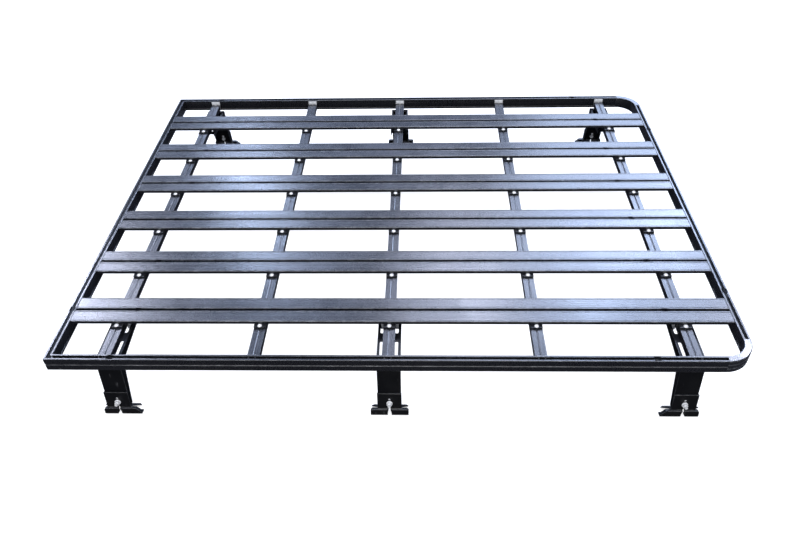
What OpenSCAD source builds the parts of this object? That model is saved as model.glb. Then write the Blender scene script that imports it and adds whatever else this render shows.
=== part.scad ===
// Flat roof rack: a black extruded deck on six gutter legs.
// +X points to the front of the vehicle, +Y to its left, +Z up.
// The origin is on the ground under the middle of the deck, where the feet stand.

/* [Deck] */
// Overall length of the outer frame
deck_l = 1890; // [1800:10:2000]
// Overall width of the outer frame
deck_w = 1450; // [1400:10:1500]
// Height of the frame's top face above the ground
deck_h = 225; // [215:5:240]

/* [Frame rails] */
// Width of a rail
rail_w = 20; // [18:1:24]
// Height of a rail
rail_h = 42; // [40:1:46]
// Wall thickness of a rail
rail_wall = 2.5; // [2:0.5:3]
// Width of the slot mouth in a rail
rail_mouth = 9; // [8:0.5:10]
// Outer radius of the two front corners
corner_r = 80; // [60:5:90]

/* [Slats] */
// Spacing of the slats
slat_pitch = 213; // [205:1:220]
// Width of a slat
slat_w = 96; // [90:1:100]
// Height of a slat at its middle channel
slat_h = 16; // [15:0.5:17]
// Height of a slat's edge lips
slat_lip_h = 10; // [9:0.5:10]
// Width of the slot mouth in a slat
slat_mouth = 8.5; // [8:0.5:10]
// Depth of a slat's top face below the frame's top face
slat_drop = 1; // [1:0.5:2]

/* [Crossbars] */
// Width of a crossbar
bar_w = 33; // [32:0.5:33]
// Height of a crossbar
bar_h = 20; // [19:0.5:21]
// Wall thickness of a crossbar
bar_wall = 2.5; // [2:0.5:3]

/* [Legs] */
// Width of a leg's face
leg_w = 65; // [64:1:70]
// Sheet thickness of a leg
leg_t = 3.5; // [3:0.5:3.5]
// Depth of a leg's side flanges
leg_flange = 29; // [26:1:32]
// Lean of the leg outwards from the vertical
leg_tilt = 8.75; // [7:0.25:10]
// Distance of the leg's outer face from the middle of the deck, at the ground
leg_foot_y = 723; // [720:1:725]
// Width of the foot and of the clamp jaw
foot_w = 107; // [95:1:115]

/* [Gutter clamps] */
// Thickness of a clamp plate
clamp_t = 5; // [4:0.5:6]
// Thickness of a clamp's jaw
jaw_t = 10; // [9:1:11]
// Height of a clamp's jaw
jaw_h = 20; // [18:1:22]
// Height of the clamp bolt up the leg's face
clamp_bolt_v = 43; // [42:0.5:46]

/* [Hidden] */
$fn = 48;
hex = 6;
cut = 1;
gap = 0.3;
weld = 0.5;
fit = 0.1;
diagonal = sqrt(2);

rail_slot_lip = 3;
rail_slot_h = 8;
rail_floor = 2.5;
rail_hollow_z = rail_slot_lip + rail_slot_h + rail_floor;
rail_hollow_w = rail_w - 2 * rail_wall;
rail_hollow_h = rail_h - rail_hollow_z - rail_wall;
groove_d = 1;
groove_half = 1;
groove_mouth_half = 2;
inner_line_z = 8;
corner_groove_d = 1.5;
edge_chamfer = 0.8;
notch_l = 17;
half_l = deck_l / 2;
half_w = deck_w / 2;
front_end_x = half_l - corner_r;
front_end_y = half_w - corner_r;
side_notch_x = [-766, 682];
rear_notch_y = 531;
front_notch_y = 454;
mitre_size = 60;

key_clear = 0.3;
key_w = rail_hollow_w - 2 * key_clear;
key_h = rail_hollow_h - 2 * key_clear;
key_l = 60;
spigot_l = 40;
screw_r = 2.4;
screw_hole_r = 2.5;
screw_head_r = 4.5;
screw_head_h = 2.5;
screw_head_taper = 1;
screw_l = 10;
screw_tip_gap = 1;
screw_back = 22;
key_out_y = half_w - rail_wall - key_clear - key_w;
key_z = deck_h - rail_hollow_z - rail_hollow_h + key_clear;
rear_screw_x = -half_l + rail_w + screw_back;
rear_screw_x_rail = -half_l + rail_w / 2;
rear_screw_y = half_w - rail_w - screw_back;
corner_screw_points = [
  [rear_screw_x, half_w - rail_w / 2],
  [rear_screw_x_rail, rear_screw_y],
  [front_end_x - screw_back, half_w - rail_w / 2],
  [half_l - rail_w / 2, front_end_y - screw_back]
];

slat_n = 6;
slat_z = deck_h - slat_drop;
slat_t = 3;
slat_edge_t = 3;
slat_toe = 3;
slat_toe_h = 2.5;
slat_chan = 13;
slat_chan_wall = 2.5;
slat_notch_x = 746;
slat_notch_w = 13;
slat_line_w = 1.2;
slat_line_d = 0.6;
slat_line_in = 9;
slat_line_edge = 4;
slat_line_out = slat_w / 2 - slat_line_edge;
slat_end_gap = 0.5;
slat_l = deck_l - 2 * rail_w - 2 * slat_end_gap;
slat_ys = [for (i = [0 : slat_n - 1]) (slat_n - 1) / 2 * slat_pitch - i * slat_pitch];

bar_top = slat_z - slat_h;
bar_xs = [-793, -387, -24, 384, 792];
rear_x = bar_xs[0];
middle_x = bar_xs[2];
front_x = bar_xs[4];
leg_xs = [rear_x, middle_x, front_x];
bracket_t = 3;
bar_half_l = half_w - rail_w - bracket_t;
bar_groove_w = 5;
bar_groove_d = 1.2;
bracket_drop = 4;
bracket_top = deck_h - bracket_drop;
bracket_tongue_l = 30;
bracket_screw_x = 9;
bracket_screw_drop = 10;
bracket_screw_z = deck_h - bracket_screw_drop;

m8_r = 4;
m8_hole_r = 4.2;
m8_nut_af = 13;
m8_nut_r = m8_nut_af / 2 / cos(30);
m8_nut_h = 6.5;
m8_head_r = 6.5;
m8_head_h = 4.4;
m8_dome_r = 7.5;
m8_socket_r = 2.9;
m8_socket_h = 2.5;
thread_r = 4.05;

cleat_out = 11.5;
cleat_in = 9.5;
cleat_base_t = 5.6;
cleat_finger_t = 3;
cleat_bolt_out = 6;
cleat_bolt_l = 20;
cleat_fit = 0.4;
cleat_wall_x = slat_edge_t + slat_toe + cleat_fit - fit;
cleat_finger_z = slat_lip_h - slat_toe_h - fit;

arm_top = bar_top - bar_h - gap;
arm_in_y = 505;
arm_end_flange = 13;
arm_slot_x = 20.8;
arm_slot_w = 9.4;
arm_slots = [[524, 590], [620, 676]];
bend_r = 7.5;
bend_y = (leg_foot_y * cos(leg_tilt) - bend_r - (arm_top - bend_r) * sin(leg_tilt)) / cos(leg_tilt);
bend_z = arm_top - bend_r;
knee_v = bend_z * cos(leg_tilt) - (bend_y - leg_foot_y) * sin(leg_tilt);
flange_low_v = 27;
flange_low = 13;
flange_top_v = (arm_top - leg_flange + leg_flange * sin(leg_tilt)) / cos(leg_tilt);
leg_hole_r = 4.1;

kick_z = 22;
kick_v = kick_z / cos(leg_tilt);
pad_d = 4;
kick_y = leg_foot_y - kick_z * tan(leg_tilt);
kick_top_z = kick_z + leg_t * (diagonal - 1 / cos(leg_tilt)) / (1 + tan(leg_tilt));
kick_in_y = leg_foot_y - kick_top_z * tan(leg_tilt) - leg_t / cos(leg_tilt);
pad_y = kick_y - kick_z;
pad_in_y = pad_y - pad_d;
pad_top_y = kick_y - leg_t * diagonal - (kick_z - leg_t);
toe_chamfer = 7;
shoulder_z = 4;
notch_half = 5.3;
notch_tip_half = 1.5;
notch_side_z = 7;
notch_top_z = 24;

clamp_w = 68;
clamp_top_v = 78;
jaw_v = 3;
jaw_hook = 5;
jaw_hook_h = 4;
jaw_chamfer = 1;
jaw_corner = 5;
toe_shift = 10;
toe_corner = 16;
pin_r = 3;
pin_head_r = 4.5;
pin_head_h = 2;
pin_recess = 2.5;
pin_hole_r = 3.3;
pin_rise = 13;
pin_v = clamp_bolt_v + pin_rise;
washer_r = 8.5;
washer_t = 1.6;
clamp_thread_out = 7;
clamp_hole_r = 4.4;
clamp_head_h = 5.3;
clamp_bolt_l = leg_t + gap + clamp_t + washer_t + m8_nut_h + clamp_thread_out;

saddle_y = 557;
saddle_w = 20;
saddle_half_x = 29;
saddle_t = 4;
saddle_thread_out = 2;
saddle_bolt_l = saddle_t + bar_h + 2 * gap + leg_t + m8_nut_h + saddle_thread_out;

anodised = "#26282c";
casting = "#3a3c40";
powder_coat = "#17181a";
zinc = "#c9ccd0";

// ---- shared shapes ----

// Mirrors its children to the left (side 1) or right (side -1) of the deck.
module to_side(side) {
  mirror([0, side > 0 ? 0 : 1, 0]) children();
}

// Rail cross section: outer face on the Y axis, inwards is +X, top on the X axis.
module rail_outline() {
  polygon([
    [0, -edge_chamfer],
    [edge_chamfer, 0],
    [rail_w - edge_chamfer, 0],
    [rail_w, -edge_chamfer],
    [rail_w, -rail_h + inner_line_z + groove_half],
    [rail_w - groove_d, -rail_h + inner_line_z],
    [rail_w, -rail_h + inner_line_z - groove_half],
    [rail_w, -rail_h + edge_chamfer],
    [rail_w - edge_chamfer, -rail_h],
    [edge_chamfer, -rail_h],
    [0, -rail_h + edge_chamfer],
    [0, -rail_h / 2 - groove_mouth_half],
    [groove_d, -rail_h / 2 - groove_half],
    [groove_d, -rail_h / 2 + groove_half],
    [0, -rail_h / 2 + groove_mouth_half]
  ]);
}

module rail_section() {
  difference() {
    rail_outline();
    translate([(rail_w - rail_mouth) / 2, -rail_slot_lip - cut])
      square([rail_mouth, rail_slot_lip + 2 * cut]);
    translate([rail_wall, -rail_slot_lip - rail_slot_h])
      square([rail_hollow_w, rail_slot_h]);
    translate([rail_wall, -rail_hollow_z - rail_hollow_h])
      square([rail_hollow_w, rail_hollow_h]);
  }
}

// A rail along +X from x0 to x1, with its outer face at y = 0 and its inner face at y = -rail_w.
module rail_bar(x0, x1) {
  translate([x0, 0, deck_h])
    rotate([90, 0, 90])
      mirror([1, 0, 0])
        linear_extrude(x1 - x0) rail_section();
}

// Wide spot in a rail's slot, where a slot nut is dropped in.
module rail_notch(x) {
  translate([x - notch_l / 2, -rail_w + rail_wall, deck_h - rail_slot_lip - cut])
    cube([notch_l, rail_hollow_w, rail_slot_lip + 2 * cut]);
}

// Bolt or screw with a low domed head; the shank points down from the origin.
module dome_head(head_r, head_h) {
  difference() {
    intersection() {
      cylinder(r = head_r, h = head_h);
      translate([0, 0, head_h - m8_dome_r]) sphere(r = m8_dome_r);
    }
    translate([0, 0, head_h - m8_socket_h])
      cylinder(r = m8_socket_r, h = m8_socket_h + cut, $fn = hex);
  }
}

module dome_bolt(length) {
  dome_head(m8_head_r, m8_head_h);
  translate([0, 0, -length]) cylinder(r = m8_r, h = length + weld);
}

module small_screw(length) {
  cylinder(r1 = screw_head_r, r2 = screw_head_r - screw_head_taper, h = screw_head_h);
  translate([0, 0, -length]) cylinder(r = screw_r, h = length + weld);
}

module hex_nut() {
  difference() {
    cylinder(r = m8_nut_r, h = m8_nut_h, $fn = hex);
    translate([0, 0, -cut]) cylinder(r = thread_r, h = m8_nut_h + 2 * cut);
  }
}

// ---- outer frame ----

// Half space beyond the 45 degree mitre plane of the rear corner, towards the corner.
module mitre_cut(keep_side) {
  translate([-half_l, half_w, 0])
    rotate([0, 0, 45])
      translate([keep_side ? -mitre_size : 0, -mitre_size / 2, deck_h - rail_h - cut])
        cube([mitre_size, mitre_size, rail_h + 2 * cut]);
}

module bracket_screw_holes(y) {
  for (x = bar_xs)
    for (dx = [-bracket_screw_x, bracket_screw_x])
      translate([x + dx, y, bracket_screw_z])
        rotate([-90, 0, 0])
          cylinder(r = screw_hole_r, h = rail_wall + bracket_t);
}

module corner_screw_hole(x, y) {
  translate([x, y, deck_h - rail_h - cut])
    cylinder(r = screw_hole_r, h = screw_l + cut);
}

module side_rail(side) {
  color(anodised)
    to_side(side)
      difference() {
        translate([0, half_w, 0]) rail_bar(-half_l, front_end_x);
        mitre_cut(true);
        for (x = side_notch_x)
          translate([0, half_w, 0]) rail_notch(x);
        corner_screw_hole(rear_screw_x, half_w - rail_w / 2);
        corner_screw_hole(front_end_x - screw_back, half_w - rail_w / 2);
        bracket_screw_holes(half_w - rail_w - bracket_t);
      }
}

module front_rail() {
  color(anodised)
    difference() {
      translate([half_l, 0, 0])
        rotate([0, 0, -90])
          rail_bar(-front_end_y, front_end_y);
      for (side = [-1, 1])
        to_side(side) {
          translate([half_l, 0, 0]) rotate([0, 0, -90]) rail_notch(-front_notch_y);
          corner_screw_hole(half_l - rail_w / 2, front_end_y - screw_back);
        }
    }
}

module rear_rail() {
  color(anodised)
    difference() {
      translate([-half_l, 0, 0])
        rotate([0, 0, 90])
          rail_bar(-half_w, half_w);
      for (side = [-1, 1])
        to_side(side) {
          mitre_cut(false);
          translate([-half_l, 0, 0]) rotate([0, 0, 90]) rail_notch(rear_notch_y);
          corner_screw_hole(rear_screw_x_rail, rear_screw_y);
        }
    }
}

// Cast front corner: the rail's section swept through a quarter turn, with two side grooves.
module corner_outline() {
  polygon([
    [corner_r - rail_w, -rail_h + edge_chamfer],
    [corner_r - rail_w, -edge_chamfer],
    [corner_r - rail_w + edge_chamfer, 0],
    [corner_r - 2 * edge_chamfer, 0],
    [corner_r, -2 * edge_chamfer],
    [corner_r, -rail_h / 3 + groove_mouth_half],
    [corner_r - corner_groove_d, -rail_h / 3 + groove_half],
    [corner_r - corner_groove_d, -rail_h / 3 - groove_half],
    [corner_r, -rail_h / 3 - groove_mouth_half],
    [corner_r, -rail_h * 2 / 3 + groove_mouth_half],
    [corner_r - corner_groove_d, -rail_h * 2 / 3 + groove_half],
    [corner_r - corner_groove_d, -rail_h * 2 / 3 - groove_half],
    [corner_r, -rail_h * 2 / 3 - groove_mouth_half],
    [corner_r, -rail_h + edge_chamfer],
    [corner_r - edge_chamfer, -rail_h],
    [corner_r - rail_w + edge_chamfer, -rail_h]
  ]);
}

module front_corner(side) {
  color(casting)
    to_side(side)
      difference() {
        union() {
          translate([front_end_x, front_end_y, deck_h])
            rotate_extrude(angle = 90) corner_outline();
          translate([front_end_x - spigot_l, key_out_y, key_z])
            cube([spigot_l + cut, key_w, key_h]);
          translate([half_l - rail_wall - key_clear - key_w, front_end_y - spigot_l, key_z])
            cube([key_w, spigot_l + cut, key_h]);
        }
        corner_screw_hole(front_end_x - screw_back, half_w - rail_w / 2);
        corner_screw_hole(half_l - rail_w / 2, front_end_y - screw_back);
      }
}

// L-shaped keys inside the mitred rear corners.
module rear_corner_keys() {
  color(zinc)
    for (side = [-1, 1])
      to_side(side)
        difference() {
          union() {
            translate([-half_l + rail_wall + key_clear, key_out_y, key_z])
              cube([key_l, key_w, key_h]);
            translate([-half_l + rail_wall + key_clear, key_out_y + key_w - key_l, key_z])
              cube([key_w, key_l, key_h]);
          }
          corner_screw_hole(rear_screw_x, half_w - rail_w / 2);
          corner_screw_hole(rear_screw_x_rail, rear_screw_y);
        }
}

module corner_screws() {
  color(zinc)
    for (side = [-1, 1])
      to_side(side)
        for (p = corner_screw_points)
          translate([p[0], p[1], deck_h - rail_h])
            rotate([180, 0, 0]) small_screw(screw_l - screw_tip_gap);
}

// ---- deck ----

// Half of a slat's section: middle at x = 0, top face at y = 0.
module slat_half() {
  polygon([
    [slat_mouth / 2, -slat_line_d],
    [slat_mouth / 2 + slat_line_d, 0],
    [slat_line_in, 0],
    [slat_line_in + slat_line_w / 2, -slat_line_d],
    [slat_line_in + slat_line_w, 0],
    [slat_line_out - slat_line_w, 0],
    [slat_line_out - slat_line_w / 2, -slat_line_d],
    [slat_line_out, 0],
    [slat_w / 2 - edge_chamfer, 0],
    [slat_w / 2, -edge_chamfer],
    [slat_w / 2, -slat_lip_h],
    [slat_w / 2 - slat_edge_t - slat_toe, -slat_lip_h],
    [slat_w / 2 - slat_edge_t - slat_toe, -slat_lip_h + slat_toe_h],
    [slat_w / 2 - slat_edge_t, -slat_lip_h + slat_toe_h],
    [slat_w / 2 - slat_edge_t, -slat_t],
    [slat_chan, -slat_t],
    [slat_chan, -slat_h],
    [0, -slat_h],
    [0, -slat_h + slat_chan_wall],
    [slat_chan - slat_chan_wall, -slat_h + slat_chan_wall],
    [slat_chan - slat_chan_wall, -slat_t],
    [slat_mouth / 2, -slat_t]
  ]);
}

module slat(number) {
  color(anodised)
    translate([-slat_l / 2, slat_ys[number - 1], slat_z])
      difference() {
        rotate([90, 0, 90])
          linear_extrude(slat_l) {
            slat_half();
            mirror([1, 0]) slat_half();
          }
        for (x = [slat_l / 2 - slat_notch_x, slat_l / 2 + slat_notch_x])
          translate([x - notch_l / 2, -slat_notch_w / 2, -slat_t - cut / 2])
            cube([notch_l, slat_notch_w, slat_t + cut]);
      }
}

module bar_section() {
  difference() {
    polygon([
      [-bar_w / 2, 0],
      [-bar_groove_w / 2, 0],
      [0, -bar_groove_d],
      [bar_groove_w / 2, 0],
      [bar_w / 2, 0],
      [bar_w / 2, -bar_h],
      [-bar_w / 2, -bar_h]
    ]);
    translate([-bar_w / 2 + bar_wall, -bar_h + bar_wall])
      square([bar_w - 2 * bar_wall, bar_h - 2 * bar_wall]);
  }
}

module crossbar(number) {
  color(anodised)
    difference() {
      translate([bar_xs[number - 1], bar_half_l, bar_top])
        rotate([90, 0, 0])
          linear_extrude(2 * bar_half_l) bar_section();
      for (y = slat_ys)
        translate([bar_xs[number - 1], y - slat_w / 2 - cleat_bolt_out, bar_top - bar_wall - cut])
          cylinder(r = m8_hole_r, h = bar_wall + 2 * cut);
    }
}

// Plate between a crossbar's end and the rail, with a tongue inside the bar.
module end_brackets(side) {
  color(zinc)
    to_side(side)
      for (x = bar_xs)
        translate([x, bar_half_l, 0])
          difference() {
            union() {
              translate([-bar_w / 2, 0, bar_top - bar_h])
                cube([bar_w, bracket_t, bracket_top - bar_top + bar_h]);
              translate([-bar_w / 2 + bar_wall + key_clear, -bracket_tongue_l,
                         bar_top - bar_h + bar_wall + key_clear])
                cube([bar_w - 2 * bar_wall - 2 * key_clear, bracket_tongue_l + cut,
                      bar_h - 2 * bar_wall - 2 * key_clear]);
            }
            for (dx = [-bracket_screw_x, bracket_screw_x])
              translate([dx, -cut, bracket_screw_z])
                rotate([-90, 0, 0])
                  cylinder(r = screw_hole_r, h = bracket_t + 2 * cut);
          }
}

module end_bracket_screws() {
  color(zinc)
    for (side = [-1, 1])
      to_side(side)
        for (x = bar_xs)
          for (dx = [-bracket_screw_x, bracket_screw_x])
            translate([x + dx, bar_half_l, bracket_screw_z])
              rotate([90, 0, 0]) small_screw(bracket_t + rail_wall);
}

// Hook clamp on a slat's right-hand lip. x is outwards from the slat's edge, y is up from its top.
module cleat_section() {
  polygon([
    [-cleat_in, -slat_h],
    [cleat_out, -slat_h],
    [cleat_out, -slat_h + cleat_base_t],
    [-cleat_wall_x, -slat_h + cleat_base_t],
    [-cleat_wall_x, -cleat_finger_z],
    [-slat_edge_t - cleat_fit, -cleat_finger_z],
    [-slat_edge_t - cleat_fit, -cleat_finger_z + cleat_finger_t],
    [-cleat_in, -cleat_finger_z + cleat_finger_t]
  ]);
}

module slat_cleats(number) {
  color(powder_coat)
    for (y = slat_ys)
      translate([bar_xs[number - 1], y - slat_w / 2, slat_z])
        difference() {
          translate([bar_w / 2, 0, 0])
            rotate([90, 0, -90])
              linear_extrude(bar_w) cleat_section();
          translate([0, -cleat_bolt_out, -slat_h - cut])
            cylinder(r = m8_hole_r, h = cleat_base_t + 2 * cut);
        }
}

module slat_cleat_bolts() {
  color(zinc)
    for (x = bar_xs)
      for (y = slat_ys)
        translate([x, y - slat_w / 2 - cleat_bolt_out, bar_top + cleat_base_t])
          dome_bolt(cleat_bolt_l);
}

// Square nuts captive inside the crossbars.
module slat_cleat_nuts() {
  color(zinc)
    for (x = bar_xs)
      for (y = slat_ys)
        translate([x, y - slat_w / 2 - cleat_bolt_out, bar_top - bar_wall - m8_nut_h])
          difference() {
            translate([-m8_nut_af / 2, -m8_nut_af / 2, 0])
              cube([m8_nut_af, m8_nut_af, m8_nut_h]);
            translate([0, 0, -cut]) cylinder(r = thread_r, h = m8_nut_h + 2 * cut);
          }
}

// ---- legs ----

// Frame of the leg's outer face: x along the deck, y outwards, z up the face from the ground.
module on_face() {
  translate([0, leg_foot_y, 0]) rotate([leg_tilt, 0, 0]) children();
}

// Point of the side view (y, z) that lies n outside the face and v up it.
function face_point(n, v) = [
  leg_foot_y + n * cos(leg_tilt) - v * sin(leg_tilt),
  n * sin(leg_tilt) + v * cos(leg_tilt)
];

// Extrudes a side view (y, z) to a width w, centred on x.
module side_view(w) {
  translate([-w / 2, 0, 0]) rotate([90, 0, 90]) linear_extrude(w) children();
}

// Outline of the leg's arm, bend and face with its side flanges, without the rounded corner.
module leg_outline() {
  polygon([
    [arm_in_y, arm_top],
    [bend_y, arm_top],
    [bend_y, bend_z],
    face_point(0, knee_v),
    face_point(0, kick_v),
    face_point(-leg_t, kick_v),
    face_point(-leg_t, flange_low_v),
    face_point(-flange_low, flange_low_v),
    face_point(-leg_flange, flange_top_v),
    [arm_in_y, arm_top - arm_end_flange]
  ]);
}

// Space between the side flanges, under the arm and inside the face.
module leg_hollow() {
  polygon([
    [arm_in_y - cut, arm_top - leg_t],
    [bend_y, arm_top - leg_t],
    [bend_y, bend_z],
    face_point(-leg_t, knee_v),
    face_point(-leg_t, flange_low_v - cut),
    face_point(-leg_flange - cut, flange_low_v - cut),
    face_point(-leg_flange - cut, flange_top_v - 2 * cut),
    [arm_in_y - cut, arm_top - arm_end_flange - 2 * cut]
  ]);
}

module corner_round(r, w) {
  translate([-w / 2, bend_y, bend_z]) rotate([0, 90, 0]) cylinder(r = r, h = w);
}

// Folded channel: the arm under the crossbar and the leaning face below it.
module leg_channel() {
  difference() {
    union() {
      side_view(leg_w) leg_outline();
      corner_round(bend_r, leg_w);
    }
    side_view(leg_w - 2 * leg_t) leg_hollow();
    corner_round(bend_r - leg_t, leg_w - 2 * leg_t);
  }
}

// Bent lower end of the leg. It slopes inwards and flares out to a flat foot with clipped corners.
module leg_foot() {
  intersection() {
    side_view(foot_w)
      polygon([
        [kick_y, kick_z],
        [pad_y, 0],
        [pad_in_y, 0],
        [pad_in_y, leg_t],
        [pad_top_y, leg_t],
        [kick_in_y, kick_top_z]
      ]);
    translate([0, leg_foot_y + cut, 0])
      rotate([90, 0, 0])
        linear_extrude(leg_foot_y - pad_in_y + 2 * cut)
          polygon([
            [-leg_w / 2, kick_top_z + cut],
            [-leg_w / 2, kick_z],
            [-foot_w / 2, shoulder_z],
            [-foot_w / 2, -cut],
            [foot_w / 2, -cut],
            [foot_w / 2, shoulder_z],
            [leg_w / 2, kick_z],
            [leg_w / 2, kick_top_z + cut]
          ]);
    linear_extrude(kick_top_z + cut)
      polygon([
        [-foot_w / 2, leg_foot_y],
        [-foot_w / 2, pad_in_y + toe_chamfer],
        [toe_chamfer - foot_w / 2, pad_in_y],
        [foot_w / 2 - toe_chamfer, pad_in_y],
        [foot_w / 2, pad_in_y + toe_chamfer],
        [foot_w / 2, leg_foot_y]
      ]);
  }
}

// Pointed notch in the middle of a foot or jaw, cut through depth d inwards from y = 0.
module foot_notch(d) {
  rotate([90, 0, 0])
    linear_extrude(d)
      polygon([
        [-notch_half, -cut],
        [notch_half, -cut],
        [notch_half, notch_side_z],
        [notch_tip_half, notch_top_z],
        [-notch_tip_half, notch_top_z],
        [-notch_half, notch_side_z]
      ]);
}

module arm_slot(x, y0, y1) {
  for (y = [y0 + arm_slot_w / 2, y1 - arm_slot_w / 2])
    translate([x, y, arm_top - leg_t - cut])
      cylinder(r = arm_slot_w / 2, h = leg_t + 2 * cut);
  translate([x - arm_slot_w / 2, y0 + arm_slot_w / 2, arm_top - leg_t - cut])
    cube([arm_slot_w, y1 - y0 - arm_slot_w, leg_t + 2 * cut]);
}

module leg(x, side) {
  color(powder_coat)
    translate([x, 0, 0])
      to_side(side)
        difference() {
          union() {
            leg_channel();
            leg_foot();
          }
          for (dx = [-arm_slot_x, arm_slot_x])
            for (s = arm_slots)
              arm_slot(dx, s[0], s[1]);
          translate([0, leg_foot_y + cut, 0]) foot_notch(leg_foot_y - pad_in_y + 2 * cut);
          on_face() {
            translate([0, -leg_t - cut, clamp_bolt_v])
              rotate([-90, 0, 0])
                cylinder(r = leg_hole_r, h = leg_t + 2 * cut);
            translate([0, -leg_t - cut, pin_v])
              rotate([-90, 0, 0])
                cylinder(r = pin_r, h = leg_t + 2 * cut);
          }
        }
}

// Front view of the jaw, with clipped upper corners. On an outer leg the jaw sits off centre, and
// the end nearer the middle of the deck slopes down to a toe.
module jaw_front(x) {
  shift = x == rear_x ? toe_shift : (x == front_x ? -toe_shift : 0);
  rear_cut = x == front_x ? toe_corner : jaw_corner;
  front_cut = x == rear_x ? toe_corner : jaw_corner;
  translate([shift, jaw_t + cut, jaw_v])
    rotate([90, 0, 0])
      linear_extrude(jaw_t + jaw_hook + 2 * cut)
        polygon([
          [-foot_w / 2, 0],
          [foot_w / 2, 0],
          [foot_w / 2, jaw_h - front_cut],
          [foot_w / 2 - front_cut, jaw_h],
          [rear_cut - foot_w / 2, jaw_h],
          [-foot_w / 2, jaw_h - rear_cut]
        ]);
}

module clamp(x, side) {
  color(powder_coat)
    translate([x, 0, 0])
      to_side(side)
        on_face()
          difference() {
            union() {
              translate([-clamp_w / 2, gap, jaw_v])
                cube([clamp_w, clamp_t, clamp_top_v - jaw_v]);
              intersection() {
                side_view(foot_w + 2 * toe_shift)
                  polygon([
                    [gap - jaw_hook, jaw_v],
                    [jaw_t, jaw_v],
                    [jaw_t, jaw_v + jaw_h - jaw_chamfer],
                    [jaw_t - jaw_chamfer, jaw_v + jaw_h],
                    [gap, jaw_v + jaw_h],
                    [gap, jaw_v + jaw_hook_h],
                    [gap - jaw_hook, jaw_v + jaw_hook_h]
                  ]);
                jaw_front(x);
              }
            }
            translate([0, jaw_t + cut, jaw_v]) foot_notch(jaw_t + jaw_hook + 2 * cut);
            translate([0, -cut, clamp_bolt_v])
              rotate([-90, 0, 0]) cylinder(r = clamp_hole_r, h = clamp_t + 2 * cut);
            translate([0, -cut, pin_v])
              rotate([-90, 0, 0]) cylinder(r = pin_hole_r, h = clamp_t + 2 * cut);
          }
}

// Clamp bolt, and above it the locating pin that keeps the clamp plate from turning.
module clamp_bolt(x, side) {
  color(zinc)
    translate([x, 0, 0])
      to_side(side)
        on_face() {
          translate([0, -leg_t, clamp_bolt_v])
            rotate([-90, 0, 0]) {
              translate([0, 0, -clamp_head_h])
                cylinder(r = m8_nut_r, h = clamp_head_h, $fn = hex);
              cylinder(r = m8_r, h = clamp_bolt_l);
            }
          translate([0, -leg_t, pin_v])
            rotate([-90, 0, 0]) {
              translate([0, 0, -pin_head_h]) cylinder(r = pin_head_r, h = pin_head_h);
              cylinder(r = pin_r, h = leg_t + gap + clamp_t - pin_recess);
            }
        }
}

module clamp_nut(x, side) {
  color(zinc)
    translate([x, 0, 0])
      to_side(side)
        on_face()
          translate([0, gap + clamp_t, clamp_bolt_v])
            rotate([-90, 0, 0]) {
              difference() {
                cylinder(r = washer_r, h = washer_t);
                translate([0, 0, -cut]) cylinder(r = m8_hole_r, h = washer_t + 2 * cut);
              }
              translate([0, 0, washer_t]) hex_nut();
            }
}

// Straps over the crossbars that hold the leg arms up against them.
module saddle_straps() {
  color(powder_coat)
    for (x = leg_xs)
      for (side = [-1, 1])
        to_side(side)
          translate([x, saddle_y, bar_top])
            difference() {
              translate([-saddle_half_x, -saddle_w / 2, 0])
                cube([2 * saddle_half_x, saddle_w, saddle_t]);
              for (dx = [-arm_slot_x, arm_slot_x])
                translate([dx, 0, -cut]) cylinder(r = m8_hole_r, h = saddle_t + 2 * cut);
            }
}

module saddle_bolts() {
  color(zinc)
    for (x = leg_xs)
      for (side = [-1, 1])
        for (dx = [-arm_slot_x, arm_slot_x])
          translate([x + dx, side * saddle_y, bar_top + saddle_t])
            dome_bolt(saddle_bolt_l);
}

module saddle_nuts() {
  color(zinc)
    for (x = leg_xs)
      for (side = [-1, 1])
        for (dx = [-arm_slot_x, arm_slot_x])
          translate([x + dx, side * saddle_y, arm_top - leg_t - gap - m8_nut_h])
            hex_nut();
}

side_rail(1);  // side_rail_left
side_rail(-1);  // side_rail_right
front_rail();
rear_rail();
front_corner(1);  // front_corner_left
front_corner(-1);  // front_corner_right
rear_corner_keys();
corner_screws();
slat(1);  // slat_1
slat(2);  // slat_2
slat(3);  // slat_3
slat(4);  // slat_4
slat(5);  // slat_5
slat(6);  // slat_6
crossbar(1);  // crossbar_1
crossbar(2);  // crossbar_2
crossbar(3);  // crossbar_3
crossbar(4);  // crossbar_4
crossbar(5);  // crossbar_5
end_brackets(1);  // end_brackets_left
end_brackets(-1);  // end_brackets_right
end_bracket_screws();
slat_cleats(1);  // slat_cleats_1
slat_cleats(2);  // slat_cleats_2
slat_cleats(3);  // slat_cleats_3
slat_cleats(4);  // slat_cleats_4
slat_cleats(5);  // slat_cleats_5
slat_cleat_bolts();
slat_cleat_nuts();
saddle_straps();
saddle_bolts();
saddle_nuts();
leg(rear_x, 1);  // leg_rear_left
leg(rear_x, -1);  // leg_rear_right
leg(middle_x, 1);  // leg_middle_left
leg(middle_x, -1);  // leg_middle_right
leg(front_x, 1);  // leg_front_left
leg(front_x, -1);  // leg_front_right
clamp(rear_x, 1);  // clamp_rear_left
clamp(rear_x, -1);  // clamp_rear_right
clamp(middle_x, 1);  // clamp_middle_left
clamp(middle_x, -1);  // clamp_middle_right
clamp(front_x, 1);  // clamp_front_left
clamp(front_x, -1);  // clamp_front_right
clamp_bolt(rear_x, 1);  // clamp_bolt_rear_left
clamp_bolt(rear_x, -1);  // clamp_bolt_rear_right
clamp_bolt(middle_x, 1);  // clamp_bolt_middle_left
clamp_bolt(middle_x, -1);  // clamp_bolt_middle_right
clamp_bolt(front_x, 1);  // clamp_bolt_front_left
clamp_bolt(front_x, -1);  // clamp_bolt_front_right
clamp_nut(rear_x, 1);  // clamp_nut_rear_left
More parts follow.
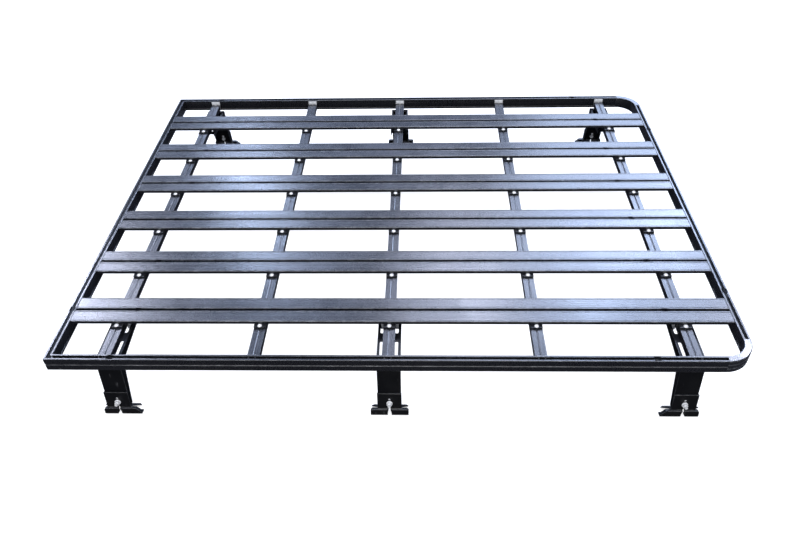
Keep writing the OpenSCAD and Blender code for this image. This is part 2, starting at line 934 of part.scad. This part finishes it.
clamp_nut(rear_x, -1);  // clamp_nut_rear_right
clamp_nut(middle_x, 1);  // clamp_nut_middle_left
clamp_nut(middle_x, -1);  // clamp_nut_middle_right
clamp_nut(front_x, 1);  // clamp_nut_front_left
clamp_nut(front_x, -1);  // clamp_nut_front_right
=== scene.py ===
import math

import bpy
from mathutils import Matrix, Vector

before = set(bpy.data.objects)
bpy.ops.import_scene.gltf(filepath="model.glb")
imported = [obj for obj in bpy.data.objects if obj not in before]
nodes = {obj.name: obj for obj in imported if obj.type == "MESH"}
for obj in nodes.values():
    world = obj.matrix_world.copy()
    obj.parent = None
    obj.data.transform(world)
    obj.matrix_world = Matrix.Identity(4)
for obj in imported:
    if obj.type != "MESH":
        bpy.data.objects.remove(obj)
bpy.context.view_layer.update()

MM = 0.001


# ---- building node trees ----

class Shader:
    """A material with a Principled shader, and short calls for the nodes that feed it."""

    def __init__(self, name, **constants):
        self.material = bpy.data.materials.new(name)
        self.material.use_nodes = True
        self.tree = self.material.node_tree
        self.tree.nodes.clear()
        self.out = self.tree.nodes.new("ShaderNodeOutputMaterial")
        self.surface = self.tree.nodes.new("ShaderNodeBsdfPrincipled")
        self.link(self.surface.outputs["BSDF"], self.out.inputs["Surface"])
        for socket, value in constants.items():
            self.surface.inputs[socket.replace("_", " ")].default_value = value
        self.place = self.tree.nodes.new("ShaderNodeTexCoord").outputs["Object"]

    def link(self, source, target):
        self.tree.links.new(source, target)

    def node(self, kind, inputs=(), **settings):
        made = self.tree.nodes.new(kind)
        for key, value in settings.items():
            setattr(made, key, value)
        for key, value in dict(inputs).items():
            if isinstance(value, bpy.types.NodeSocket):
                self.link(value, made.inputs[key])
            else:
                made.inputs[key].default_value = value
        return made

    def stretched(self, scale):
        return self.node(
            "ShaderNodeVectorMath", {0: self.place, 1: scale}, operation="MULTIPLY"
        ).outputs[0]

    def noise(self, per_metre, detail=2.0, rough=0.5, stretch=(1, 1, 1)):
        """Noise with about per_metre grains in a metre, from 0 to 1."""
        scale = [per_metre * s for s in stretch]
        return self.node(
            "ShaderNodeTexNoise",
            {"Vector": self.stretched(scale), "Scale": 1.0, "Detail": detail, "Roughness": rough},
        ).outputs["Fac"]

    def cells(self, per_metre):
        """Distance from the nearest of a scatter of points, in cell widths."""
        return self.node(
            "ShaderNodeTexVoronoi",
            {"Vector": self.place, "Scale": per_metre, "Randomness": 1.0},
        ).outputs["Distance"]

    def ramp(self, value, low, high, to_low=0.0, to_high=1.0):
        return self.node(
            "ShaderNodeMapRange",
            {"Value": value, "From Min": low, "From Max": high,
             "To Min": to_low, "To Max": to_high},
            interpolation_type="SMOOTHSTEP",
        ).outputs["Result"]

    def math(self, operation, a, b=0.0):
        return self.node("ShaderNodeMath", {0: a, 1: b}, operation=operation).outputs[0]

    def mix(self, amount, a, b):
        made = self.node("ShaderNodeMix", data_type="RGBA")
        for socket, value in (("Factor_Float", amount), ("A_Color", a), ("B_Color", b)):
            target = next(s for s in made.inputs if s.identifier == socket)
            if isinstance(value, bpy.types.NodeSocket):
                self.link(value, target)
            elif isinstance(value, (int, float)):
                target.default_value = value
            else:
                target.default_value = (*value, 1.0)
        return next(s for s in made.outputs if s.identifier == "Result_Color")

    def facing_up(self, low=0.6, high=0.95):
        """1 on surfaces that face the sky, 0 on the others."""
        normal = self.node("ShaderNodeNewGeometry").outputs["Normal"]
        up = self.node("ShaderNodeSeparateXYZ", {0: normal}).outputs[2]
        return self.ramp(up, low, high)

    def bump(self, height, distance, under=None):
        inputs = {"Height": height, "Distance": distance, "Strength": 1.0}
        if under is not None:
            inputs["Normal"] = under
        return self.node("ShaderNodeBump", inputs).outputs["Normal"]

    def finish(self, color, roughness, normal):
        self.link(color, self.surface.inputs["Base Color"])
        self.link(roughness, self.surface.inputs["Roughness"])
        self.link(normal, self.surface.inputs["Normal"])
        return self.material


# ---- materials ----

# Counts are per metre and depths are in metres. The limits in a call of ramp() are the values of
# the noise between which the effect fades in.

COAT_IOR = 1.5

DIE_LINES = 260
DIE_LINE_DEPTH = 0.000018
BROAD_LINES = 60
BROAD_LINE_DEPTH = 0.00004
COAT_GRAIN = 1400
COAT_GRAIN_DEPTH = 0.00005
COAT_GRAIN_AMOUNT = 0.12
COAT_CLOUDS = 5
COAT_BLOTCHES = 500
# Painted glints: bright bluish specks painted into the coat's colour in place of glints of light,
# few on its sides and many on its top.
PAINTED_GLINTS = 420
PAINTED_GLINT_PATCHES = 30
PAINTED_GLINT_COLOR = (0.35, 0.37, 0.42)
PAINTED_GLINTS_BESIDE = 0.06
PAINTED_GLINTS_ON_TOP = 0.5
THINNEST_DUST = 0.15
LINE_ROUGHNESS = 0.035
BLOTCH_ROUGHNESS = 0.05


def drawn_coating(name, base, pale, rough, stretch, dust=0.5, level=0.8):
    """Black finish on an extrusion: die lines along its length, fine grain, dust on its top, and
    painted glints: bright specks, most of them on its top.
    """
    s = Shader(name, Specular_IOR_Level=level, IOR=COAT_IOR)
    lines = s.noise(DIE_LINES, detail=3.0, stretch=stretch)
    broad_lines = s.noise(BROAD_LINES, detail=1.0, stretch=stretch)
    grain = s.noise(COAT_GRAIN, detail=2.0)
    clouds = s.noise(COAT_CLOUDS, detail=4.0, rough=0.6)
    # Painted glints: a scatter of bright specks, in patches.
    painted_glints = s.math("MULTIPLY", s.ramp(s.cells(PAINTED_GLINTS), 0.20, 0.08),
                    s.ramp(s.noise(PAINTED_GLINT_PATCHES), 0.5, 0.7))
    top = s.facing_up()
    film = s.math("MULTIPLY", top, s.ramp(clouds, 0.35, 0.75, THINNEST_DUST, dust))
    color = s.mix(film, base, pale)
    pale_grain = s.math("MULTIPLY", s.ramp(grain, 0.5, 0.75), COAT_GRAIN_AMOUNT)
    color = s.mix(pale_grain, color, pale)
    # The painted glints are strongest on faces that face up, where the light catches them.
    painted_glints = s.math("MULTIPLY", painted_glints, s.ramp(top, 0.0, 1.0, PAINTED_GLINTS_BESIDE, PAINTED_GLINTS_ON_TOP))
    color = s.mix(painted_glints, color, PAINTED_GLINT_COLOR)
    roughness = s.math(
        "ADD", s.ramp(lines, 0.3, 0.7, rough - LINE_ROUGHNESS, rough + LINE_ROUGHNESS),
        s.ramp(clouds, 0.3, 0.7, -0.04, 0.05))
    blotches = s.ramp(s.noise(COAT_BLOTCHES, detail=3.0), 0.35, 0.65,
                      -BLOTCH_ROUGHNESS, BLOTCH_ROUGHNESS)
    roughness = s.math("ADD", roughness, blotches)
    normal = s.bump(grain, COAT_GRAIN_DEPTH)
    normal = s.bump(lines, DIE_LINE_DEPTH, under=normal)
    normal = s.bump(broad_lines, BROAD_LINE_DEPTH, under=normal)
    return s.finish(color, roughness, normal)


PEEL_LUMPS = 700
PEEL_DEPTH = 0.00006
POWDER_GRAIN = 2500
POWDER_GRAIN_DEPTH = 0.00002
POWDER_CLOUDS = 9
SCRATCHES = 90
SCRATCH_STRETCH = (1.0, 0.25, 0.25)
SCUFF_PATCHES = 14
SCUFF_COLOR = (0.16, 0.16, 0.17)
SCUFF_AMOUNT = 0.35
SCUFF_ROUGHNESS = 0.15
THINNEST_FILM = 0.05
THICKEST_FILM = 0.35


def powder_coat(name, base, pale, rough, level):
    """Sprayed black coat on steel or cast aluminium: orange peel, a few scuffs, a little dust."""
    s = Shader(name, Specular_IOR_Level=level, IOR=COAT_IOR)
    peel_lumps = s.noise(PEEL_LUMPS, detail=1.0)
    grain = s.noise(POWDER_GRAIN, detail=2.0)
    clouds = s.noise(POWDER_CLOUDS, detail=4.0, rough=0.65)
    scratches = s.noise(SCRATCHES, detail=5.0, stretch=SCRATCH_STRETCH)
    scuffs = s.math("MULTIPLY", s.ramp(scratches, 0.62, 0.72),
                    s.ramp(s.noise(SCUFF_PATCHES), 0.45, 0.6))
    film = s.math("MULTIPLY", s.facing_up(low=0.3),
                  s.ramp(clouds, 0.4, 0.7, THINNEST_FILM, THICKEST_FILM))
    color = s.mix(film, base, pale)
    color = s.mix(s.math("MULTIPLY", scuffs, SCUFF_AMOUNT), color, SCUFF_COLOR)
    roughness = s.math("ADD", s.ramp(clouds, 0.3, 0.7, rough - 0.06, rough + 0.08),
                       s.math("MULTIPLY", scuffs, SCUFF_ROUGHNESS))
    normal = s.bump(grain, POWDER_GRAIN_DEPTH)
    normal = s.bump(peel_lumps, PEEL_DEPTH, under=normal)
    return s.finish(color, roughness, normal)


RUBBED_PATCHES = 35
CHIPS = 420
CHIP_WEAR = 0.6
RUBBED_WEAR = 0.2
WORN_METALLIC = 0.6
EDGE_SPECULAR = 0.8
EDGE_BLOTCHES = 200
EDGE_GRAIN = 900
EDGE_GRAIN_DEPTH = 0.00003


def worn_edge(name, base, bare, rough):
    """Rounded edge of a black part: the finish is rubbed thin, and bare metal shows in places."""
    s = Shader(name, Specular_IOR_Level=EDGE_SPECULAR, IOR=COAT_IOR)
    rubbed = s.ramp(s.noise(RUBBED_PATCHES, detail=5.0, rough=0.7), 0.45, 0.7)
    chips = s.ramp(s.noise(CHIPS, detail=3.0), 0.5, 0.75)
    chipped = s.math("MULTIPLY", chips, CHIP_WEAR)
    wear = s.math("MULTIPLY", rubbed, s.math("MAXIMUM", chipped, RUBBED_WEAR))
    color = s.mix(wear, base, bare)
    s.link(s.math("MULTIPLY", wear, WORN_METALLIC), s.surface.inputs["Metallic"])
    roughness = s.ramp(s.noise(EDGE_BLOTCHES), 0.3, 0.7, rough - 0.05, rough + 0.08)
    return s.finish(color, roughness, s.bump(s.noise(EDGE_GRAIN), EDGE_GRAIN_DEPTH))


PLATE_METALLIC = 0.35
PLATE_CLOUDS = 160
PLATE_SCRATCHES = 900
PLATE_SCRATCH_DEPTH = 0.00002
CLOUD_ROUGHNESS = 0.12
SCRATCH_ROUGHNESS = 0.05


def plated(name, base, dull, rough):
    """Zinc-plated or mill-finish metal: bright, slightly cloudy, with fine scratches."""
    s = Shader(name, Metallic=PLATE_METALLIC)
    clouds = s.noise(PLATE_CLOUDS, detail=3.0)
    fine = s.noise(PLATE_SCRATCHES, detail=2.0)
    color = s.mix(s.ramp(clouds, 0.35, 0.7), base, dull)
    roughness = s.math("ADD", s.ramp(clouds, 0.3, 0.7, rough, rough + CLOUD_ROUGHNESS),
                       s.ramp(fine, 0.4, 0.8, 0.0, SCRATCH_ROUGHNESS))
    return s.finish(color, roughness, s.bump(fine, PLATE_SCRATCH_DEPTH))


ALONG_X = (0.004, 1.0, 1.0)
ALONG_Y = (1.0, 0.004, 1.0)
BLACK = (0.006, 0.0063, 0.0085)
DUST = (0.045, 0.050, 0.070)
BARE = (0.62, 0.63, 0.65)

# Each call gives a name, the base colour, the colour of its dusty, bare or dull places, and the
# roughness.
slat_finish = drawn_coating("slat_black", BLACK, DUST, 0.27, ALONG_X)
rail_x_finish = drawn_coating("rail_black", BLACK, DUST, 0.28, ALONG_X, dust=0.3)
rail_y_finish = drawn_coating("rail_black_cross", BLACK, DUST, 0.28, ALONG_Y, dust=0.3)
bar_finish = drawn_coating("crossbar_black", BLACK, DUST, 0.29, ALONG_Y, dust=0.4, level=0.7)
corner_finish = powder_coat("cast_corner", (0.012, 0.0125, 0.015), DUST, 0.2, level=1.0)
leg_finish = powder_coat("leg_steel", (0.003, 0.0032, 0.0042), DUST, 0.38, level=0.22)
clamp_finish = powder_coat("clamp_steel", (0.003, 0.0031, 0.004), DUST, 0.34, level=0.3)
cleat_finish = powder_coat("cleat_black", (0.006, 0.0062, 0.0075), DUST, 0.34, level=0.5)
edge_finish = worn_edge("worn_edge", (0.02, 0.021, 0.026), BARE, 0.3)
zinc = plated("zinc_fastener", (0.92, 0.92, 0.93), (0.78, 0.79, 0.81), 0.3)
bracket_zinc = plated("zinc_bracket", (0.90, 0.91, 0.92), (0.76, 0.77, 0.79), 0.34)
mill = plated("mill_aluminium", (0.72, 0.73, 0.74), (0.60, 0.61, 0.63), 0.35)

FINISHES = {
    "side_rail": (rail_x_finish, edge_finish),
    "front_rail": (rail_y_finish, edge_finish),
    "rear_rail": (rail_y_finish, edge_finish),
    "front_corner": (corner_finish, edge_finish),
    "rear_corner_keys": (mill, mill),
    "corner_screws": (zinc, zinc),
    "slat_cleats": (cleat_finish, edge_finish),
    "slat_cleat_bolts": (zinc, zinc),
    "slat_cleat_nuts": (zinc, zinc),
    "slat_": (slat_finish, edge_finish),
    "crossbar": (bar_finish, edge_finish),
    "end_bracket_screws": (zinc, zinc),
    "end_brackets": (bracket_zinc, bracket_zinc),
    "saddle_straps": (bracket_zinc, bracket_zinc),
    "saddle_bolts": (zinc, zinc),
    "saddle_nuts": (zinc, zinc),
    "leg_": (leg_finish, edge_finish),
    "clamp_bolt": (zinc, zinc),
    "clamp_nut": (zinc, zinc),
    "clamp_": (clamp_finish, edge_finish),
}


def finish_of(name):
    """The pair of finishes, face and edge, of the longest key that the node's name starts with."""
    key = max((k for k in FINISHES if name.startswith(k)), key=len)
    return FINISHES[key]


# ---- rounded edges ----

# Distances and widths are in mm, the angle is in degrees.
WELD_DISTANCE = 0.005
BEVEL_SEGMENTS = 2
BEVEL_ANGLE = 40
EDGE_WIDTH = {"slat_": 0.6, "side_rail": 0.4, "front_rail": 0.4, "rear_rail": 0.4, "crossbar": 0.5,
              "front_corner": 0.8, "leg_": 0.5, "clamp_": 0.5, "slat_cleats": 0.4}


def round_edges(thing, width):
    """Small rounds on the sharp edges of a node, in the node's second finish."""
    weld = thing.modifiers.new("weld", "WELD")
    weld.merge_threshold = WELD_DISTANCE * MM
    bevel = thing.modifiers.new("rounds", "BEVEL")
    bevel.width = width
    bevel.segments = BEVEL_SEGMENTS
    bevel.limit_method = "ANGLE"
    bevel.angle_limit = math.radians(BEVEL_ANGLE)
    bevel.use_clamp_overlap = False
    bevel.material = 1


for name, thing in nodes.items():
    thing.data.materials.clear()
    for finish in finish_of(name):
        thing.data.materials.append(finish)
    fasteners = finish_of(name)[0] in (zinc, bracket_zinc, mill)
    keys = [k for k in EDGE_WIDTH if name.startswith(k)]
    if keys and not fasteners:
        round_edges(thing, EDGE_WIDTH[max(keys, key=len)] * MM)


# ---- floor, light and camera ----

def floor():
    """Pale floor. It looks bright to the camera, and gives the object little of that light back."""
    bpy.ops.mesh.primitive_plane_add(size=FLOOR_SIZE, location=(0, 0, 0))
    plane = bpy.context.object
    plane.name = "floor"
    s = Shader("floor_pale", Specular_IOR_Level=FLOOR_SPECULAR)
    clouds = s.noise(FLOOR_CLOUDS, detail=3.0)
    seen = s.node("ShaderNodeLightPath").outputs["Is Camera Ray"]
    color = s.mix(clouds, FLOOR_SEEN, FLOOR_CLOUD_SEEN)
    color = s.mix(seen, FLOOR_BOUNCE, color)
    roughness = s.ramp(clouds, 0.2, 0.8, FLOOR_SMOOTHEST, FLOOR_ROUGHEST)
    s.finish(color, roughness, s.bump(s.noise(FLOOR_GRAIN), FLOOR_GRAIN_DEPTH))
    s.surface.inputs["Emission Color"].default_value = (1, 1, 1, 1)
    s.link(s.math("MULTIPLY", seen, FLOOR_GLOW), s.surface.inputs["Emission Strength"])
    plane.data.materials.append(s.material)


def softbox(name, centre, width, height, radiance, tint):
    """A rectangular diffused lamp at centre that faces the deck."""
    lamp = bpy.data.lights.new(name, "AREA")
    lamp.shape = "RECTANGLE"
    lamp.size = width
    lamp.size_y = height
    lamp.energy = radiance * width * height * math.pi
    lamp.color = tint
    thing = bpy.data.objects.new(name, lamp)
    bpy.context.scene.collection.objects.link(thing)
    thing.location = centre
    thing.rotation_mode = "QUATERNION"
    thing.rotation_quaternion = (Vector(DECK) - Vector(centre)).to_track_quat("-Z", "Y")
    thing.visible_camera = False


def surroundings(radiance, tint):
    """Dim bluish room light. The camera sees a plain pale backdrop in its place."""
    world = bpy.data.worlds.new("studio")
    world.use_nodes = True
    tree = world.node_tree
    background = tree.nodes["Background"]
    background.inputs["Color"].default_value = (*tint, 1)
    background.inputs["Strength"].default_value = radiance
    backdrop = tree.nodes.new("ShaderNodeBackground")
    backdrop.inputs["Color"].default_value = BACKDROP
    seen = tree.nodes.new("ShaderNodeLightPath").outputs["Is Camera Ray"]
    choice = tree.nodes.new("ShaderNodeMixShader")
    tree.links.new(seen, choice.inputs["Fac"])
    tree.links.new(background.outputs["Background"], choice.inputs[1])
    tree.links.new(backdrop.outputs["Background"], choice.inputs[2])
    tree.links.new(choice.outputs["Shader"], tree.nodes["World Output"].inputs["Surface"])
    bpy.context.scene.world = world


def camera():
    """The main camera: where it stands, where it looks and its field of view."""
    data = bpy.data.cameras.new("camera")
    data.sensor_width = SENSOR_WIDTH
    data.lens = FOCAL_LENGTH
    thing = bpy.data.objects.new("camera", data)
    bpy.context.scene.collection.objects.link(thing)
    forward = Vector(CAMERA_FORWARD).normalized()
    right = Vector(CAMERA_RIGHT)
    right = (right - forward * right.dot(forward)).normalized()
    up = right.cross(forward)
    turn = Matrix((right, up, -forward)).transposed().to_4x4()
    thing.matrix_world = Matrix.Translation(CAMERA_PLACE) @ turn
    bpy.context.scene.camera = thing


SENSOR_WIDTH = 36
FOCAL_LENGTH = 32.18
CAMERA_PLACE = (0.0676, -1.9801, 1.6413)
CAMERA_FORWARD = (-0.0309, 0.7550, -0.6550)
CAMERA_RIGHT = (0.9995, 0.0228, -0.0209)
FLOOR_SIZE = 60
FLOOR_SEEN = (0.54, 0.54, 0.545)
FLOOR_CLOUD_SEEN = (0.56, 0.56, 0.56)
FLOOR_CLOUDS = 2
FLOOR_GRAIN = 300
FLOOR_GRAIN_DEPTH = 0.0001
FLOOR_SMOOTHEST = 0.75
FLOOR_ROUGHEST = 0.9
FLOOR_SPECULAR = 0.1
FLOOR_BOUNCE = (0.03, 0.03, 0.035)
FLOOR_GLOW = 0.75
BACKDROP = (0.86, 0.88, 0.90, 1)
DECK = (0, 0, 0.2)
ROOM_RADIANCE = 0.24
ROOM_TINT = (0.54, 0.68, 1.0)
WHITE = (1, 1, 1)
COOL = (0.57, 0.70, 1.0)
PALE_COOL = (0.74, 0.79, 1.0)

# Name, centre, width, height, radiance and tint of each lamp. All of them face the deck.
LAMPS = (
    ("overhead", (0, -1.5, 6), 6, 4, 4.5, WHITE),
    ("front", (0, -4.5, 1.1), 5, 1.2, 6.5, WHITE),
    ("back_wall", (0, 4.4, 3.2), 12, 4.6, 0.45, COOL),
    ("back_right", (2.1, 4, 3.1), 2.2, 2.4, 7.5, COOL),
    ("gleam_near", (1.95, 4, 4.3), 0.5, 1.1, 24.0, COOL),
    ("gleam_right", (2.85, 4, 3.35), 0.8, 0.8, 18.0, COOL),
    ("back_middle", (0.5, 4, 4.6), 1.0, 1.6, 16.0, PALE_COOL),
    ("back_left_strip", (-1.65, 4, 3.2), 0.35, 1.1, 36.0, COOL),
    ("far_left", (-4.3, 4, 4.45), 1.5, 0.9, 44.0, PALE_COOL),
    ("corner_gleam", (4.5, 4, 5.7), 1.2, 1.2, 34.0, PALE_COOL),
)

floor()
for lamp in LAMPS:
    softbox(*lamp)
surroundings(ROOM_RADIANCE, ROOM_TINT)
camera()

bpy.context.scene.view_settings.view_transform = "Standard"
